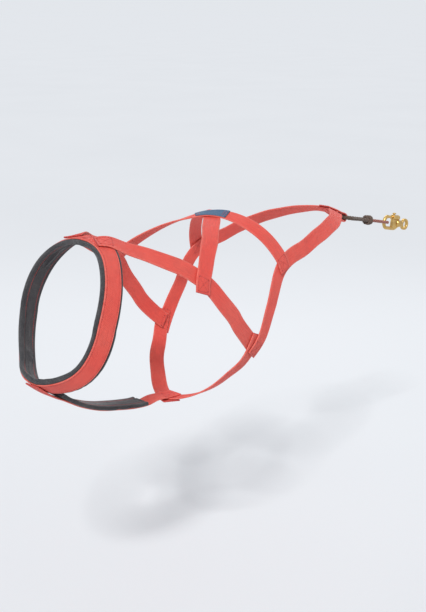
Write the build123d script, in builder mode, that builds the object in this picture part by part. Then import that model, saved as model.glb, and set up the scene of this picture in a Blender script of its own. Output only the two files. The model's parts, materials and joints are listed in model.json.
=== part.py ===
from build123d import *

import bisect
import math
import os

# Pulling harness of the X-back pattern, in the shape that it has when worn, with its rope tug and
# the brass swivel snap that is hooked into it.
# Millimetres. +X points to the wearer's head, +Y to the left and +Z up.
# The origin is on the wearer's back, under the crossing of the two back straps.

# Webbing and lining
WEB_WIDTH = 25.0
WEB_THICK = 2.6
PLY = 4.2
PAD_WIDTH = 36.0
PAD_THICK = 7.0
PAD_CORNER = 2.5
OVER_PAD = PAD_THICK + 1.0
KEEPER_WIDTH = 24.0
KEEPER_THICK = 1.6
SECTION_SPACING = 17.0

# Tail tab: a folded strip of webbing, and the rope of the tug
TAIL_STATION = -318.0
TAB_WIDTH = 19.0
TAB_PLY_LENGTH = 42.0
TAB_HALF_GAP = 5.2
EYE_BEHIND_WEBS = 17.0
EYE_RADIUS = 5.2
TUG_ROPE = 7.0
BIGHT_ROPE = 5.5

# Tug: it runs back and slightly down from the tab's eye. Distances are from the eye.
TUG_DIP = 12.0
LEG_HALF_SPREAD = 21.0
LEG_END = 78.0
LEG_HALF_GAP = 3.8
KNOT_LENGTH = 22.0
KNOT_RADIUS = 8.8
BIGHT_END = 150.0
BIGHT_HALF_GAP = 7.0

# Snap: distances behind the centre of its round hook, radii and half thicknesses
HOOK_ROD = 6.4
HOOK_RADIUS = 10.6
SNAP_SHOULDER = 14.5
SNAP_WAIST = 26.0
SNAP_REAR = 47.0
WEB_HALF_THICK = 2.6
BASE_START = 30.0
BASE_RADIUS = 7.4
COLLAR_START = 39.0
COLLAR_RADIUS = 6.4
BARREL_RADIUS = 5.0
BARREL_END = 39.0
BOLT_RADIUS = 2.5
BOLT_LENGTH = 26.0
BOLT_TRAVEL = 9.0
RUNNING_GAP = 0.05
FACE_GAP = 0.4
STUD_AT = 20.5
STUD_RADIUS = 1.8
STUD_HEAD = 3.4
STUD_HEAD_THICK = 2.6
STUD_HEAD_GAP = 0.8
STEM_RADIUS = 2.5
STEM_LENGTH = 6.0
SHOULDER_LENGTH = 2.0
EYE_AT = 61.0
SWIVEL_BORE = 6.5
SWIVEL_OUTER = 10.8
SWIVEL_THICK = 6.4
SWIVEL_NECK = 2.8

# The wearer's trunk, which the straps lie on: a rounded oval at each station along X
TRUNK_ROUNDNESS = 2.2
# columns: station, top, bottom, half_width
TRUNK = [
    (-355, -64, -150, 28),
    (-325, -51, -154, 43),
    (-290, -33, -160, 58),
    (-240, -13, -172, 74),
    (-170, 6, -200, 82),
    (-90, 14, -234, 88),
    (0, 0, -256, 97),
    (70, -4, -260, 100),
    (150, 0, -251, 95),
    (215, -1, -238, 87),
    (250, -2, -227, 81),
    (280, 8, -212, 75),
    (330, 36, -176, 63),
    (360, 54, -150, 55),
]

# Routes of the left straps over the trunk. The angle is from the top of the back towards the side.
# over_lift is added on the strap that lies over its twin from the other side.
MEETING_ANGLE = 0.25
# columns: station, angle, lift, over_lift
NECK_RING = [
    (243, MEETING_ANGLE, 0, 0),
    (243, 10, 0, 0),
    (247, 27, 0, 0),
    (262, 52, 0, 0),
    (284, 88, 0, 0),
    (304, 124, 0, 0),
    (323, 153, 0, 0),
    (329, 168, 0, 0),
    (329, 180 - MEETING_ANGLE, 0, 0),
]
SHOULDER = [
    (256, 12, OVER_PAD + PLY, 0),
    (232, 17, OVER_PAD + PLY, 0),
    (206, 27, 1.5, 0),
    (158, 45, 0, 0),
    (113, 61, 0, 0),
    (64, 86, 0, 0),
    (8, 112, 0, 0),
]
BREAST = [
    (340, 180, OVER_PAD + PLY, 0),
    (314, 180, OVER_PAD + PLY, 0),
    (288, 180, OVER_PAD, 0),
    (220, 180, OVER_PAD, 0),
    (154, 180, OVER_PAD, 0),
    (126, 180, 0.5, 0),
    (100, 180, 0, 0),
    (80, 180, 0, 0),
]
BREAST_PAD = [
    (304, 180, 0, 0),
    (228, 180, 0, 0),
    (152, 180, 0, 0),
]
GIRTH = [
    (104, 188, PLY, PLY),
    (92, 176, PLY, PLY),
    (72, 158, 1.0, 2.5),
    (46, 136, 0, 0),
    (24, 122, PLY, 0),
    (4, 104, PLY, 0),
]
CROSS = [
    (120, 70, PLY, 0),
    (110, 59, PLY, 0),
    (76, 38, 0.5, 0),
    (30, 15, 0, 2.0),
    (0, 0, 0, PLY),
    (-18, -19, 0, 2.0),
    (-39, -42, 0.5, 0),
    (-60, -66, PLY, 0),
    (-68, -77, PLY, 0),
]
KEEPER = [
    (24, 11.5, PLY, 2.4),
    (0, 0, PLY, PLY),
    (-24, -25.5, PLY, 1.5),
]
SIDE = [
    (14, 118, 2 * PLY, 0),
    (-4, 108, 2 * PLY, 0),
    (-30, 92, 0.5, 0),
    (-64, 74, 0, 0),
    (-124, 69, 0, 0),
    (-184, 61, 0, 0),
    (-232, 49, 0, 0),
    (-268, 32, 0.8, 0.5),
    (-295, 14, 2.6, 3.0),
    (TAIL_STATION, 0.5, 3.4, PLY),
]


def interpolate(table, column, key):
    """Smooth value of a column at a key between the rows of a table, whose first column rises."""
    i = min(max(bisect.bisect_right([row[0] for row in table], key), 1), len(table) - 1)
    before, start, end, after = (table[max(j, 0)] for j in (i - 2, i - 1, i, min(i + 1, len(table) - 1)))
    span = end[0] - start[0]
    slope_in = (end[column] - before[column]) / (end[0] - before[0]) * span
    slope_out = (after[column] - start[column]) / (after[0] - start[0]) * span
    t = (key - start[0]) / span
    return (
        (2 * t**3 - 3 * t**2 + 1) * start[column]
        + (t**3 - 2 * t**2 + t) * slope_in
        + (3 * t**2 - 2 * t**3) * end[column]
        + (t**3 - t**2) * slope_out
    )


def trunk_point(station, angle):
    """Point of the trunk at an angle from the top of the back, in degrees, positive to the left."""
    top, bottom, half_width = (interpolate(TRUNK, column, station) for column in (1, 2, 3))
    side, rise = math.sin(math.radians(angle)), math.cos(math.radians(angle))
    power = 2 / TRUNK_ROUNDNESS
    return Vector(
        station,
        half_width * math.copysign(abs(side) ** power, side),
        (top + bottom) / 2 + (top - bottom) / 2 * math.copysign(abs(rise) ** power, rise),
    )


def trunk_normal(station, angle):
    """Outward normal of the trunk."""
    reach = 3
    along = trunk_point(station + reach, angle) - trunk_point(station - reach, angle)
    around = trunk_point(station, angle + reach) - trunk_point(station, angle - reach)
    return along.cross(around).normalized()


def strap_planes(route, side, base_lift, over=0):
    """Planes square to a strap, from its start to its end. side is 1 for left, -1 for right."""
    rows = [(index, *row) for index, row in enumerate(route)]

    def place(t):
        station, angle, lift, over_lift = (interpolate(rows, column, t) for column in (1, 2, 3, 4))
        normal = trunk_normal(station, side * angle)
        return trunk_point(station, side * angle) + normal * (base_lift + lift + over * over_lift), normal

    planes = []
    for index in range(len(route) - 1):
        run = (place(index + 1)[0] - place(index)[0]).length
        steps = max(1, round(run / SECTION_SPACING))
        planes += [index + step / steps for step in range(steps)]
    planes.append(len(route) - 1)
    reach = 0.02
    for n, t in enumerate(planes):
        point, normal = place(t)
        tangent = (place(t + reach)[0] - place(t - reach)[0]).normalized()
        planes[n] = Plane(origin=point, x_dir=normal.cross(tangent), z_dir=tangent)
    return planes


def make_web(name, route, side=1, base_lift=0.0, over=0, width=WEB_WIDTH, thick=WEB_THICK):
    """Flat webbing along a route."""
    with BuildPart() as web:
        for plane in strap_planes(route, side, base_lift + thick / 2, over):
            with BuildSketch(plane):
                Rectangle(width, thick)
        loft(ruled=True)
    web.part.label = name
    export_step(web.part, f"parts/{name}.step")


def make_pad(name, route, side=1):
    """Soft lining with rounded edges along a route."""
    with BuildPart() as pad:
        for plane in strap_planes(route, side, PAD_THICK / 2):
            with BuildSketch(plane):
                RectangleRounded(PAD_WIDTH, PAD_THICK, PAD_CORNER)
        loft(ruled=True)
    pad.part.label = name
    export_step(pad.part, f"parts/{name}.step")


os.makedirs("parts", exist_ok=True)

# Webbing and lining of the harness, the right strap over the left one where the two cross
for side_name, side, over in (("left", 1, 0), ("right", -1, 1)):
    make_pad(f"neck_pad_{side_name}", NECK_RING, side)
    make_web(f"neck_web_{side_name}", NECK_RING, side, OVER_PAD)
    make_web(f"shoulder_web_{side_name}", SHOULDER, side)
    make_web(f"girth_web_{side_name}", GIRTH, side, 0, over)
    make_web(f"cross_web_{side_name}", CROSS, side, 0, over)
    make_web(f"side_web_{side_name}", SIDE, side, 0, over)
make_pad("breast_pad", BREAST_PAD)
make_web("breast_web", BREAST)
make_web("cross_keeper", KEEPER, -1, 0, 1, KEEPER_WIDTH, KEEPER_THICK)

# Tail tab: both plies hold the ends of the side straps, and the fold behind them is the eye
web_end = trunk_point(TAIL_STATION, 0)
tail_up = trunk_normal(TAIL_STATION, 0)
tail_forward = (trunk_point(TAIL_STATION + 10, 0) - web_end).normalized()
eye = web_end + tail_up * (3.4 + (WEB_THICK + PLY) / 2) - tail_forward * EYE_BEHIND_WEBS
tab_plane = Plane(origin=eye, x_dir=tail_forward, z_dir=(0, -1, 0))
tab_bend_at = EYE_BEHIND_WEBS - 3
tab_end = tab_bend_at + TAB_PLY_LENGTH
touch = math.atan2(TAB_HALF_GAP, tab_bend_at) + math.acos(
    EYE_RADIUS / math.hypot(TAB_HALF_GAP, tab_bend_at)
)
touch_x, touch_y = EYE_RADIUS * math.cos(touch), EYE_RADIUS * math.sin(touch)
with BuildPart() as tail_tab:
    with BuildSketch(tab_plane):
        with BuildLine():
            Polyline((tab_end, TAB_HALF_GAP), (tab_bend_at, TAB_HALF_GAP), (touch_x, touch_y))
            ThreePointArc((touch_x, touch_y), (-EYE_RADIUS, 0), (touch_x, -touch_y))
            Polyline((touch_x, -touch_y), (tab_bend_at, -TAB_HALF_GAP), (tab_end, -TAB_HALF_GAP))
            offset(amount=WEB_THICK, side=Side.RIGHT)
        make_face()
    extrude(amount=TAB_WIDTH / 2, both=True)
tail_tab.part.label = "tail_tab"
export_step(tail_tab.part, "parts/tail_tab.step")

# Tug: a rope loop through the eye, a whipped knot, and a thin bight that the snap hooks into
dip = math.radians(TUG_DIP)
tug_back = Vector(-math.cos(dip), 0, -math.sin(dip))
tug_up = Vector(-math.sin(dip), 0, math.cos(dip))
tug_plane = Plane(origin=eye, x_dir=tug_back, z_dir=tug_up)
with BuildPart() as tug_loop:
    with BuildLine(tug_plane) as loop_line:
        FilletPolyline(
            (LEG_END, LEG_HALF_GAP),
            (LEG_END - 20, LEG_HALF_GAP),
            (0, LEG_HALF_SPREAD),
            (0, -LEG_HALF_SPREAD),
            (LEG_END - 20, -LEG_HALF_GAP),
            (LEG_END, -LEG_HALF_GAP),
            radius=[30, TUG_ROPE, TUG_ROPE, 30],
        )
    with BuildSketch(Plane(origin=loop_line.line @ 0, z_dir=loop_line.line % 0)):
        Circle(TUG_ROPE / 2)
    sweep(path=loop_line.line)
tug_loop.part.label = "tug_loop"
export_step(tug_loop.part, "parts/tug_loop.step")

turns = 4
turn_length = KNOT_LENGTH / turns
with BuildPart() as tug_knot:
    with BuildSketch(tug_plane):
        with BuildLine():
            Line((LEG_END, 0), (LEG_END, KNOT_RADIUS - 1.2))
            for turn in range(turns):
                start = LEG_END + turn * turn_length
                ThreePointArc(
                    (start, KNOT_RADIUS - 1.2),
                    (start + turn_length / 2, KNOT_RADIUS),
                    (start + turn_length, KNOT_RADIUS - 1.2),
                )
            knot_end = LEG_END + KNOT_LENGTH
            Polyline((knot_end, KNOT_RADIUS - 1.2), (knot_end, 0), (LEG_END, 0))
        make_face()
    revolve(axis=Axis(eye, tug_back))
tug_knot.part.label = "tug_knot"
export_step(tug_knot.part, "parts/tug_knot.step")

with BuildPart() as tug_bight:
    bight_turn = BIGHT_END - BIGHT_HALF_GAP
    with BuildLine(tug_plane) as bight_line:
        strand = Line((knot_end, BIGHT_HALF_GAP), (bight_turn, BIGHT_HALF_GAP))
        ThreePointArc((bight_turn, BIGHT_HALF_GAP), (BIGHT_END, 0), (bight_turn, -BIGHT_HALF_GAP))
        Line((bight_turn, -BIGHT_HALF_GAP), (knot_end, -BIGHT_HALF_GAP))
    with BuildSketch(Plane(origin=strand @ 0, z_dir=strand % 0)):
        Circle(BIGHT_ROPE / 2)
    sweep(path=bight_line.line)
tug_bight.part.label = "tug_bight"
export_step(tug_bight.part, "parts/tug_bight.step")

# Snap: the bight pulls on the inner front of its round hook. In the snap's plane x runs back along
# the tug and y is up.
bight_bar = eye + tug_back * BIGHT_END
hook_centre = bight_bar + tug_back * (HOOK_RADIUS - HOOK_ROD / 2 - BIGHT_ROPE / 2 - 0.3)
snap_plane = Plane(origin=hook_centre, x_dir=tug_back, z_dir=(0, 1, 0))
snap_axis = Axis(hook_centre, tug_back)


def across_snap(back, up):
    """Plane square to the snap's length, at a distance back and up from the hook's centre."""
    return Plane(origin=snap_plane.from_local_coords((back, up, 0)), x_dir=(0, 1, 0), z_dir=tug_back)


with BuildPart() as snap_body:
    # round hook, with the spine that bends in towards the base
    with BuildLine(snap_plane) as spine_line:
        ThreePointArc((0, HOOK_RADIUS), (-HOOK_RADIUS, 0), (0, -HOOK_RADIUS))
        FilletPolyline(
            (0, -HOOK_RADIUS),
            (SNAP_WAIST, -HOOK_RADIUS),
            (COLLAR_START, HOOK_ROD / 2 - COLLAR_RADIUS),
            radius=12,
        )
    with BuildSketch(Plane(origin=spine_line.line @ 0, z_dir=spine_line.line % 0)):
        Circle(HOOK_ROD / 2)
    sweep(path=spine_line.line)
    # web between the spine and the barrel
    with BuildSketch(snap_plane):
        Polygon(
            (SNAP_SHOULDER + 1, -HOOK_RADIUS),
            (SNAP_SHOULDER + 1, HOOK_RADIUS),
            (BARREL_END - BARREL_RADIUS, HOOK_RADIUS),
            (COLLAR_START, 0),
            (SNAP_WAIST, -HOOK_RADIUS),
            align=None,
        )
    extrude(amount=WEB_HALF_THICK, both=True)
    # barrel of the bolt, with a rounded end
    barrel_axis = Axis(snap_plane.from_local_coords((0, HOOK_RADIUS, 0)), tug_back)
    bend_at = BARREL_END - BARREL_RADIUS
    with BuildSketch(snap_plane):
        with BuildLine():
            Polyline(
                (SNAP_SHOULDER, HOOK_RADIUS),
                (SNAP_SHOULDER, HOOK_RADIUS + BARREL_RADIUS - 0.7),
                (SNAP_SHOULDER + 0.7, HOOK_RADIUS + BARREL_RADIUS),
                (bend_at, HOOK_RADIUS + BARREL_RADIUS),
            )
            ThreePointArc(
                (bend_at, HOOK_RADIUS + BARREL_RADIUS),
                (bend_at + BARREL_RADIUS * math.sqrt(0.5), HOOK_RADIUS + BARREL_RADIUS * math.sqrt(0.5)),
                (BARREL_END, HOOK_RADIUS),
            )
            Line((BARREL_END, HOOK_RADIUS), (SNAP_SHOULDER, HOOK_RADIUS))
        make_face()
    revolve(axis=barrel_axis)
    # bulging base and the collar of the swivel
    with BuildSketch(snap_plane):
        with BuildLine():
            Line((BASE_START, 0), (BASE_START, BASE_RADIUS / 2))
            ThreePointArc(
                (BASE_START, BASE_RADIUS / 2),
                (BASE_START + 5, BASE_RADIUS),
                (COLLAR_START, COLLAR_RADIUS),
            )
            Polyline(
                (COLLAR_START, COLLAR_RADIUS),
                (SNAP_REAR - 1, COLLAR_RADIUS),
                (SNAP_REAR, COLLAR_RADIUS - 1),
                (SNAP_REAR, 0),
                (BASE_START, 0),
            )
        make_face()
    revolve(axis=snap_axis)
    # bore and slot of the bolt, and the bore of the swivel's stem
    with BuildSketch(across_snap(SNAP_SHOULDER - 1, HOOK_RADIUS)):
        Circle(BOLT_RADIUS + RUNNING_GAP)
    extrude(amount=BOLT_LENGTH + BOLT_TRAVEL + 2 - SNAP_SHOULDER, mode=Mode.SUBTRACT)
    with BuildSketch(snap_plane):
        with Locations((STUD_AT + BOLT_TRAVEL / 2, HOOK_RADIUS + BARREL_RADIUS)):
            Rectangle(BOLT_TRAVEL + 2 * STUD_RADIUS + 0.6, 2 * BARREL_RADIUS)
    extrude(amount=STUD_RADIUS + 0.2, both=True, mode=Mode.SUBTRACT)
    with BuildSketch(across_snap(SNAP_REAR - STEM_LENGTH - FACE_GAP, 0)):
        Circle(STEM_RADIUS + RUNNING_GAP)
    extrude(amount=STEM_LENGTH + 2 * FACE_GAP, mode=Mode.SUBTRACT)
snap_body.part.label = "snap_body"
export_step(snap_body.part, "parts/snap_body.step")

with BuildPart() as snap_bolt:
    with BuildSketch(across_snap(FACE_GAP, HOOK_RADIUS)):
        Circle(BOLT_RADIUS)
    extrude(amount=BOLT_LENGTH - FACE_GAP)
    stud_foot = snap_plane.from_local_coords((STUD_AT, HOOK_RADIUS, 0))
    with BuildSketch(Plane(origin=stud_foot, z_dir=tug_up)):
        Circle(STUD_RADIUS)
    extrude(amount=BARREL_RADIUS + STUD_HEAD_GAP + 1)
    with BuildSketch(Plane(origin=stud_foot + tug_up * (BARREL_RADIUS + STUD_HEAD_GAP), z_dir=tug_up)):
        Circle(STUD_HEAD)
    extrude(amount=STUD_HEAD_THICK)
    fillet(snap_bolt.edges().filter_by(GeomType.CIRCLE).group_by(SortBy.RADIUS)[-1], 0.9)
snap_bolt.part.label = "snap_bolt"
export_step(snap_bolt.part, "parts/snap_bolt.step")

with BuildPart() as snap_swivel:
    with BuildSketch(snap_plane):
        with Locations((EYE_AT, 0)):
            Circle(SWIVEL_OUTER)
            Circle(SWIVEL_BORE, mode=Mode.SUBTRACT)
    extrude(amount=SWIVEL_THICK / 2, both=True)
    fillet(snap_swivel.edges().filter_by(GeomType.CIRCLE), 1.6)
    neck_start = EYE_AT - SWIVEL_OUTER + 1
    neck_end = EYE_AT - SWIVEL_BORE - 1.5
    with BuildSketch(snap_plane):
        with BuildLine():
            Polyline(
                (SNAP_REAR - STEM_LENGTH, 0),
                (SNAP_REAR - STEM_LENGTH, STEM_RADIUS),
                (SNAP_REAR + FACE_GAP, STEM_RADIUS),
                (SNAP_REAR + FACE_GAP, COLLAR_RADIUS - 1),
                (SNAP_REAR + FACE_GAP + SHOULDER_LENGTH, COLLAR_RADIUS - 1),
                (neck_start, SWIVEL_NECK),
                (neck_end, SWIVEL_NECK),
                (neck_end, 0),
                (SNAP_REAR - STEM_LENGTH, 0),
            )
        make_face()
    revolve(axis=snap_axis)
snap_swivel.part.label = "snap_swivel"
export_step(snap_swivel.part, "parts/snap_swivel.step")

for name, point in (
    ("tab eye", eye),
    ("bight bar", bight_bar),
    ("hook centre", hook_centre),
    ("swivel eye", hook_centre + tug_back * EYE_AT),
):
    print(name, [round(value, 3) for value in point])
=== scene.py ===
# %% [markdown]
# # An X-back pulling harness
#
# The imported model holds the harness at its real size, in the shape that it has when worn: straps
# of webbing, padded lining, a rope tug and a brass swivel snap. This lesson dresses it. The straps
# are woven flat, sewn, and only then laid on the wearer's shape, as a harness maker does it.

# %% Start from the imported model
import bisect
import json
import math

import bpy
import numpy as np
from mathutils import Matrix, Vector
from mathutils.bvhtree import BVHTree

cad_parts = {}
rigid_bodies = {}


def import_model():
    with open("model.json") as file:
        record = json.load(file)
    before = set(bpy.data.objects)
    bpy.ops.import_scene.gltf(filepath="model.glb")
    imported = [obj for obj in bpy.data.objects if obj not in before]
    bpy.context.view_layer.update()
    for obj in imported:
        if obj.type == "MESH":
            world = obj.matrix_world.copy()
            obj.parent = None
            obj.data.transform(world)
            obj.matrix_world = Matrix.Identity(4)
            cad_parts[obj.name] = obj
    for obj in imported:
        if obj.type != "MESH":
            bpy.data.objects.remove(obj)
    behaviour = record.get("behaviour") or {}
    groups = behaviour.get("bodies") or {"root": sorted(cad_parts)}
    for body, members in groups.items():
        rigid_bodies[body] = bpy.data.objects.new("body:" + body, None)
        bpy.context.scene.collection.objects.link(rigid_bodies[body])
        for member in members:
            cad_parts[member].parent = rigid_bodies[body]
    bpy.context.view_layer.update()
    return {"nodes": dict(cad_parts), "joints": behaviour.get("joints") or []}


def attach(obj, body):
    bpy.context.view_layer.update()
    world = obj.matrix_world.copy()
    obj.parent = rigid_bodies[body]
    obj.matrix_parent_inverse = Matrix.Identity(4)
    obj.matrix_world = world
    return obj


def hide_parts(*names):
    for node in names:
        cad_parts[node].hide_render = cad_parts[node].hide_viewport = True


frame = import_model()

joints = {joint["name"]: joint for joint in frame["joints"]}
print("packed nodes", len(frame["nodes"]), "and joints", list(joints))

# %% [markdown]
# ## The camera
#
# The camera stands as in the photograph: ahead of the wearer, to the left, a little above the
# back. A longer lens from the same place keeps the perspective and fills the picture with the
# harness. The lens counts along the picture's longer side, which is its height.

# %% Camera
CAMERA_AT = (1.115, 1.027, 0.296)
AIM_AT = (-0.046, -0.037, -0.158)
LENS_MM, SENSOR_MM = 60.0, 36.0


def add_camera():
    """The photograph's view of the harness."""
    data = bpy.data.cameras.new("photo_view")
    data.lens = LENS_MM
    data.sensor_width = SENSOR_MM
    camera = bpy.data.objects.new("photo_view", data)
    camera.location = CAMERA_AT
    camera.rotation_euler = (Vector(AIM_AT) - Vector(CAMERA_AT)).to_track_quat("-Z", "Y").to_euler()
    bpy.context.scene.collection.objects.link(camera)
    bpy.context.scene.camera = camera


add_camera()
print("camera", round((Vector(AIM_AT) - Vector(CAMERA_AT)).length, 2), "m from where it aims")

# %% [markdown]
# ## The shape that the straps lie on
#
# Straps bend and twist over the wearer's trunk. A rounded oval at a few stations describes it,
# and a smooth curve between the stations gives any place on it, with its outward direction. The
# wearer isn't part of the scene: only this formula of the trunk is.

# %% Stations of the wearer's trunk, in metres
# columns: station, top, bottom, half_width
TRUNK = [
    (-0.355, -0.064, -0.15, 0.028),
    (-0.325, -0.051, -0.154, 0.043),
    (-0.29, -0.033, -0.16, 0.058),
    (-0.24, -0.013, -0.172, 0.074),
    (-0.17, 0.006, -0.2, 0.082),
    (-0.09, 0.014, -0.234, 0.088),
    (0, 0, -0.256, 0.097),
    (0.07, -0.004, -0.26, 0.1),
    (0.15, 0, -0.251, 0.095),
    (0.215, -0.001, -0.238, 0.087),
    (0.25, -0.002, -0.227, 0.081),
    (0.28, 0.008, -0.212, 0.075),
    (0.33, 0.036, -0.176, 0.063),
    (0.36, 0.054, -0.15, 0.055),
]


def between_rows(table, column, key):
    """Smooth value of a column at a key between the rows of a table, whose first column rises."""
    i = min(max(bisect.bisect_right([row[0] for row in table], key), 1), len(table) - 1)
    before, start, end, after = (table[max(j, 0)] for j in (i - 2, i - 1, i, min(i + 1, len(table) - 1)))
    span = end[0] - start[0]
    slope_in = (end[column] - before[column]) / (end[0] - before[0]) * span
    slope_out = (after[column] - start[column]) / (after[0] - start[0]) * span
    t = (key - start[0]) / span
    return (
        (2 * t**3 - 3 * t**2 + 1) * start[column]
        + (t**3 - 2 * t**2 + t) * slope_in
        + (3 * t**2 - 2 * t**3) * end[column]
        + (t**3 - t**2) * slope_out
    )


print("half width between two stations", round(between_rows(TRUNK, 3, 0.035), 4), "m")

# %% Any point of the trunk
TRUNK_ROUNDNESS = 2.2


def trunk_point(station, angle):
    """Point of the trunk at an angle from the top of the back, in degrees, positive to the left."""
    top, bottom, half_width = (between_rows(TRUNK, column, station) for column in (1, 2, 3))
    side, rise = math.sin(math.radians(angle)), math.cos(math.radians(angle))
    power = 2 / TRUNK_ROUNDNESS
    return Vector((
        station,
        half_width * math.copysign(abs(side) ** power, side),
        (top + bottom) / 2 + (top - bottom) / 2 * math.copysign(abs(rise) ** power, rise),
    ))


print("side of the trunk at the crossing, in metres", [round(value, 3) for value in trunk_point(0, 90)])

# %% Outward directions on the trunk
NORMAL_STEP, NORMAL_TURN = 0.003, 3


def trunk_normal(station, angle):
    """Outward direction of the trunk."""
    along = trunk_point(station + NORMAL_STEP, angle) - trunk_point(station - NORMAL_STEP, angle)
    around = trunk_point(station, angle + NORMAL_TURN) - trunk_point(station, angle - NORMAL_TURN)
    return along.cross(around).normalized()


print("outward at the crossing", [round(value, 2) for value in trunk_normal(0, 0)])

# %% [markdown]
# ## Where the straps run
#
# Every strap is a short table of places on the trunk: a station, an angle from the top of the
# back, and how high the strap's underside lies there. The second height is added only for the
# side that lies on top where left and right cross. A strap on another is one ply higher, and a
# strap on the lining lies at the lining's top, so nothing is sunk into what carries it.

# %% Sizes of the webbing and lining, in metres
WEB_WIDTH = 0.025
WEB_THICK = 0.0026
PLY = 0.0029
PAD_WIDTH = 0.036
PAD_THICK = 0.0070
PAD_INSET = 0.0004
PAD_CLEARANCE = 0.0001
OVER_PAD = PAD_THICK - PAD_INSET + PAD_CLEARANCE
print("height of a strap on the lining", round(1000 * OVER_PAD, 2), "mm, on a strap", 1000 * PLY, "mm")

# %% Routes round the neck and the chest
# columns of every route: station, angle from the top of the back, lift, over_lift
NECK_RING = [
    (0.243, 0, 0, 0),
    (0.243, 10, 0, 0),
    (0.247, 27, 0, 0),
    (0.262, 52, 0, 0),
    (0.284, 88, 0, 0),
    (0.304, 124, 0, 0),
    (0.323, 153, 0, 0),
    (0.329, 168, 0, 0),
    (0.329, 180, 0, 0),
]
SHOULDER = [
    (0.2505, 13.2, OVER_PAD + PLY - 0.0005, 0),
    (0.232, 17, OVER_PAD + PLY, 0),
    (0.206, 27, 0.0015, 0),
    (0.158, 45, 0, 0),
    (0.113, 61, 0, 0),
    (0.064, 86, 0, 0),
    (0.008, 112, 0, 0),
]
BREAST = [
    (0.34, 180, OVER_PAD + PLY, 0),
    (0.314, 180, OVER_PAD + PLY, 0),
    (0.288, 180, OVER_PAD, 0),
    (0.22, 180, OVER_PAD, 0),
    (0.154, 180, OVER_PAD, 0),
    (0.126, 180, 0.0005, 0),
    (0.1, 180, 0, 0),
    (0.08, 180, 0, 0),
]
BREAST_PAD = [
    (0.308, 180, 0, 0),
    (0.228, 180, 0, 0),
    (0.152, 180, 0, 0),
]
GIRTH = [
    (0.104, 188, PLY, PLY),
    (0.092, 176, PLY, PLY),
    (0.072, 158, 0.001, 0.002),
    (0.046, 136, 0, 0),
    (0.024, 122, PLY, 0),
    (0.004, 104, PLY, 0),
]
front_routes = (NECK_RING, SHOULDER, BREAST, BREAST_PAD, GIRTH)
print("places on the front routes", [len(table) for table in front_routes])

# %% Routes over the back and along the flanks
TAIL_STATION = -0.318
CROSS = [
    (0.12, 70, PLY, 0),
    (0.11, 59, PLY, 0),
    (0.076, 38, 0.0005, 0),
    (0.03, 15, 0, 0.0012),
    (0, 0, 0, PLY),
    (-0.018, -19, 0, 0.0014),
    (-0.039, -42, 0.0005, 0),
    (-0.06, -66, PLY, 0),
    (-0.068, -77, PLY, 0),
]
SIDE = [
    (0.014, 118, 2 * PLY, 0),
    (-0.004, 108, 2 * PLY, 0),
    (-0.03, 92, 0.0005, 0),
    (-0.064, 74, 0, 0),
    (-0.124, 69, 0, 0),
    (-0.184, 61, 0, 0),
    (-0.232, 49, 0, 0),
    (-0.268, 32, 0.0008, 0.0005),
    (-0.295, 14, 0.0032, 0.002),
    (TAIL_STATION, 0.5, 0.004, PLY),
]
print("places on the back routes", [len(table) for table in (CROSS, SIDE)])

# %% [markdown]
# ## From flat to worn
#
# Everything soft here is made flat or straight, with X along it, and then laid along a route: a
# line in space that also knows which way is across and which way is up. A Curve modifier could
# bend a strip as well, but its own idea of up would not follow the wearer's body, and straps
# would stand on edge. So this small class puts each point in place instead.

# %% A line in space that knows across and up


class Route:
    """A line in space, measured in metres from its start, with directions across and up."""

    def __init__(self, centre, up_hint):
        self.centre = np.array(centre, float)
        run = np.linalg.norm(np.diff(self.centre, axis=0), axis=1)
        self.at = np.concatenate(([0], np.cumsum(run)))
        self.length = float(self.at[-1])
        tangent = np.gradient(self.centre, self.at, axis=0)
        self.tangent = tangent / np.linalg.norm(tangent, axis=1)[:, None]
        across = np.cross(np.array(up_hint, float), self.tangent)
        self.across = across / np.linalg.norm(across, axis=1)[:, None]
        self.up = np.cross(self.tangent, self.across)

    def read(self, rows, along):
        """Values of one of the route's tables at distances along it."""
        return np.stack([np.interp(along, self.at, rows[:, axis]) for axis in range(3)], axis=1)

    def lay(self, flat):
        """Places of flat points: X runs along the route, Y across it and Z above it."""
        inside = np.clip(flat[:, 0], 0, self.length)
        return (
            self.read(self.centre, inside)
            + self.read(self.tangent, inside) * (flat[:, 0] - inside)[:, None]
            + self.read(self.across, inside) * flat[:, 1:2]
            + self.read(self.up, inside) * flat[:, 2:3]
        )

    def distance_at(self, station):
        """How far along the route its line passes a station along X."""
        return float(self.at[np.argmin(np.abs(self.centre[:, 0] - station))])


straight = Route([(0, 0, 0), (0.1, 0, 0)], [(0, 0, 1)] * 2)
print("a point laid on a straight route", straight.lay(np.array([[0.05, 0.01, 0.002]])).round(4))

# %% Routes of straps over the trunk
SAMPLES_PER_ROW = 24
# how far a strap sways sideways, over which lengths, and how far left and right are out of step
SWAY = 0.0005
SWAY_WAVES = (0.143, 0.061)
SWAY_PHASE = 0.2


def strap_route(table, side=1, base_lift=0.0, over=0, half_thick=WEB_THICK / 2, sway=SWAY):
    """Route of a strap's middle over the trunk. side is 1 for left and -1 for right."""
    rows = [(index, *row) for index, row in enumerate(table)]
    centre, normals = [], []
    for t in np.linspace(0, len(table) - 1, (len(table) - 1) * SAMPLES_PER_ROW + 1):
        station, angle, lift, over_lift = (between_rows(rows, column, t) for column in (1, 2, 3, 4))
        normal = trunk_normal(station, side * angle)
        height = base_lift + lift + over * over_lift + half_thick
        centre.append(trunk_point(station, side * angle) + normal * height)
        normals.append(normal)
    route = Route(centre, normals)
    # webbing never lies quite straight, but its sewn ends stay in line
    free = np.sin(math.pi * route.at / route.length)
    waves = sum(np.sin(2 * math.pi * (route.at / wave + SWAY_PHASE * side)) for wave in SWAY_WAVES)
    route.centre = route.centre + route.across * (sway * free * waves)[:, None]
    return route


print("crossing strap", round(strap_route(CROSS).length, 3), "m long")

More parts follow.
